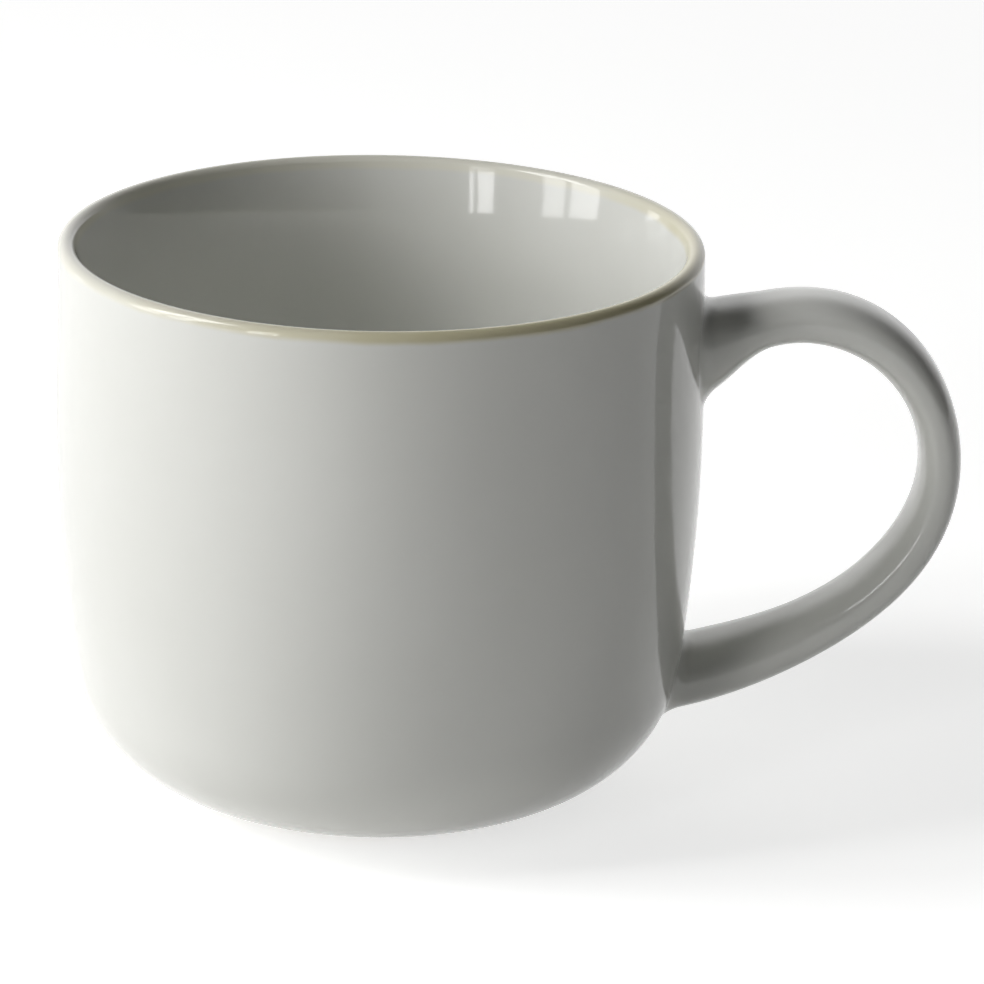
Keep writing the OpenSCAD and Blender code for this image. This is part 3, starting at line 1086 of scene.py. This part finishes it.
@dataclass(frozen=True)
class LightPane:
    """One pane of a window, as the directions in which its edges are seen, in degrees.

    Azimuths count from the camera's side, positive to the right.
    """

    azimuths: tuple[float, float]
    heights: tuple[float, float]
    radiance: float

    def build(self, name: str, distance: float, aim: Vector) -> None:
        """Makes the pane as an area lamp.

        Args:
            name: The lamp's name.
            distance: How far away it stands.
            aim: The point that it faces.
        """
        azimuth, height = (math.radians(sum(pair) / 2) for pair in (self.azimuths, self.heights))
        way = Vector((math.sin(azimuth) * math.cos(height), -math.cos(azimuth) * math.cos(height), math.sin(height)))
        lamp = bpy.data.lights.new(name, "AREA")
        lamp.shape = "RECTANGLE"
        lamp.size = distance * math.radians(abs(self.azimuths[1] - self.azimuths[0])) * math.cos(height)
        lamp.size_y = distance * math.radians(self.heights[1] - self.heights[0])
        lamp.energy = math.pi * lamp.size * lamp.size_y * self.radiance
        holder = placed(name, lamp)
        holder.location = aim + distance * way
        holder.rotation_mode = "QUATERNION"
        holder.rotation_quaternion = (-way).to_track_quat("-Z", "Y")
        holder.visible_camera = False


@dataclass(frozen=True)
class FloorFinish:
    """Pale floor that shows white to the eye and in reflections, and keeps the mug's soft shadow."""

    name: str = "pale_floor"
    albedo: Colour = (0.85, 0.85, 0.84)
    lift: float = 0.66
    far: float = 0.97
    fade: tuple[float, float] = (0.3, 1.0)

    def material(self) -> bpy.types.Material:
        """Builds the finish.

        Returns:
            The material.
        """
        material, nodes, surface = new_material(self.name)
        place = nodes.out("ShaderNodeTexCoord", "Object")
        away = nodes.vector("LENGTH", place, output="Value")
        plain = nodes.out("ShaderNodeBsdfDiffuse", "BSDF", {"Color": opaque(self.albedo)})
        glow = nodes.out("ShaderNodeEmission", "Emission", {"Strength": self.lift})
        # Near the mug the floor keeps its shadow under a lift to white, and far off it is plain white.
        lifted = nodes.out("ShaderNodeAddShader", "Shader", {"Shader": plain, "Shader_001": glow})
        distant = nodes.out("ShaderNodeEmission", "Emission", {"Strength": self.far})
        shown = nodes.out("ShaderNodeMixShader", "Shader", {"Fac": nodes.ranged(away, *self.fade, smooth=True),
                                                            "Shader": lifted, "Shader_001": distant})
        rays = nodes.add("ShaderNodeLightPath").outputs
        seen = nodes.math("MAXIMUM", rays["Is Camera Ray"],
                          nodes.math("MAXIMUM", rays["Is Glossy Ray"], rays["Is Transmission Ray"]))
        nodes.feed(surface, nodes.out("ShaderNodeMixShader", "Shader",
                                      {"Fac": seen, "Shader": plain, "Shader_001": shown}))
        return material


@dataclass
class Studio:
    """The room round the mug: a pale floor, tall windows on the left, a lit wall behind and the camera."""

    floor_r: float = 14.0
    floor_drop: float = 0.02 * MM
    floor_sides: int = 96
    window_distance: float = 1.7
    aim: tuple[float, float, float] = (0.0, 0.0, 60 * MM)
    room: Colour = (0.01, 0.01, 0.01)
    ceiling: Colour = (0.03, 0.03, 0.03)
    ceiling_rise: tuple[float, float] = (0.3, 1.0)
    wall: Colour = (1.0, 1.0, 1.0)
    wall_level: float = 1.22
    wall_turn: tuple[float, float] = (0.35, 1.0)
    wall_fall: tuple[float, float] = (0.3, 0.95)
    camera_place: tuple[float, float, float] = (21.29 * MM, -609.65 * MM, 274.44 * MM)
    camera_way: tuple[float, float, float] = (-0.00256, 0.93922, -0.34331)
    camera_roll: float = math.radians(1.25)
    lens: float = 136.03
    panes: tuple[LightPane, ...] = (
        LightPane((-33.2, -35.2), (-2.0, 22.0), 7.2),
        LightPane((-36.9, -43.6), (-2.0, 22.0), 7.2),
        LightPane((-34.0, -43.0), (23.0, 30.0), 5.0),
        LightPane((-65.2, -75.0), (-1.0, 22.0), 4.8),
        LightPane((-77.8, -92.0), (-1.0, 22.0), 4.8),
        LightPane((-65.2, -75.0), (23.0, 54.0), 8.4),
        LightPane((-77.8, -92.0), (23.0, 54.0), 8.4),
        LightPane((-121.0, -129.0), (0.0, 6.0), 3.0),
    )

    def build_floor(self) -> None:
        """Lays the floor as a wide disc."""
        disc = bmesh.new()
        bmesh.ops.create_circle(disc, cap_ends=True, cap_tris=True, segments=self.floor_sides, radius=self.floor_r)
        mesh = bpy.data.meshes.new("floor")
        disc.to_mesh(mesh)
        disc.free()
        mesh.transform(Matrix.Translation((0.0, 0.0, -self.floor_drop)))
        mesh.materials.append(FloorFinish().material())
        floor = placed("floor", mesh)

    def build_world(self) -> None:
        """Makes the dim room, with a lit wall behind the mug and a paler ceiling."""
        world = bpy.data.worlds.new("room")
        world.use_nodes = True
        world.node_tree.nodes.clear()
        nodes = NodeBuilder(world.node_tree)
        parts = nodes.add("ShaderNodeSeparateXYZ", {"Vector": nodes.out("ShaderNodeTexCoord", "Generated")}).outputs
        above = nodes.ranged(parts["Z"], *self.ceiling_rise, smooth=True)
        behind = nodes.math("MULTIPLY", nodes.ranged(parts["Y"], *self.wall_turn, smooth=True),
                            nodes.ranged(parts["Z"], *self.wall_fall, 1.0, 0.0, smooth=True))
        unlit = nodes.mix_colour(above, opaque(self.room), opaque(self.ceiling))
        colour = nodes.mix_colour(behind, unlit, opaque(self.wall))
        light = nodes.out("ShaderNodeBackground", "Background", {"Color": colour, "Strength": self.wall_level})
        nodes.add("ShaderNodeOutputWorld", {"Surface": light})
        bpy.context.scene.world = world

    def build_camera(self) -> None:
        """Sets up the camera at the photograph's angle."""
        data = bpy.data.cameras.new("camera")
        data.lens = self.lens
        camera = placed("camera", data)
        camera.location = self.camera_place
        camera.rotation_mode = "QUATERNION"
        level = Vector(self.camera_way).to_track_quat("-Z", "Y")
        camera.rotation_quaternion = level @ Quaternion((0.0, 0.0, 1.0), self.camera_roll)
        bpy.context.scene.camera = camera

    def build(self) -> None:
        """Builds the whole room and sets how the picture is shown."""
        self.build_floor()
        self.build_world()
        self.build_camera()
        for number, pane in enumerate(self.panes):
            pane.build(f"light_pane_{number}", self.window_distance, Vector(self.aim))
        bpy.context.scene.view_settings.view_transform = "Standard"


def dress_inner_nodes(finishes: Iterable[tuple[str, bpy.types.Material]]) -> None:
    """Gives the model's own inner pieces their finishes.

    Args:
        finishes: Pairs of a node's name and its material.
    """
    for node, finish in finishes:
        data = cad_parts[node].data
        data.materials.clear()
        data.materials.append(finish)
        LOG.info("dressed %s in %s", node, finish.name)


def main() -> None:
    """Builds the vessel, the handle and the studio, and reports each piece."""
    logging.basicConfig(level=logging.INFO, format="%(name)s: %(message)s")
    vessel = Vessel()
    handle = StrapHandle(vessel)
    glaze = GlazeFinish().material(vessel)
    clay = STONEWARE.material()
    slip = FIRED_SLIP.material()
    for piece in (*vessel.build(glaze, clay), *handle.build(glaze)):
        LOG.info("%s: %d faces", piece.name, len(piece.data.polygons))
    dress_inner_nodes((("handle", clay), ("upper_slip", slip), ("lower_slip", slip)))
    Studio().build()


if __name__ == "__main__":
    main()
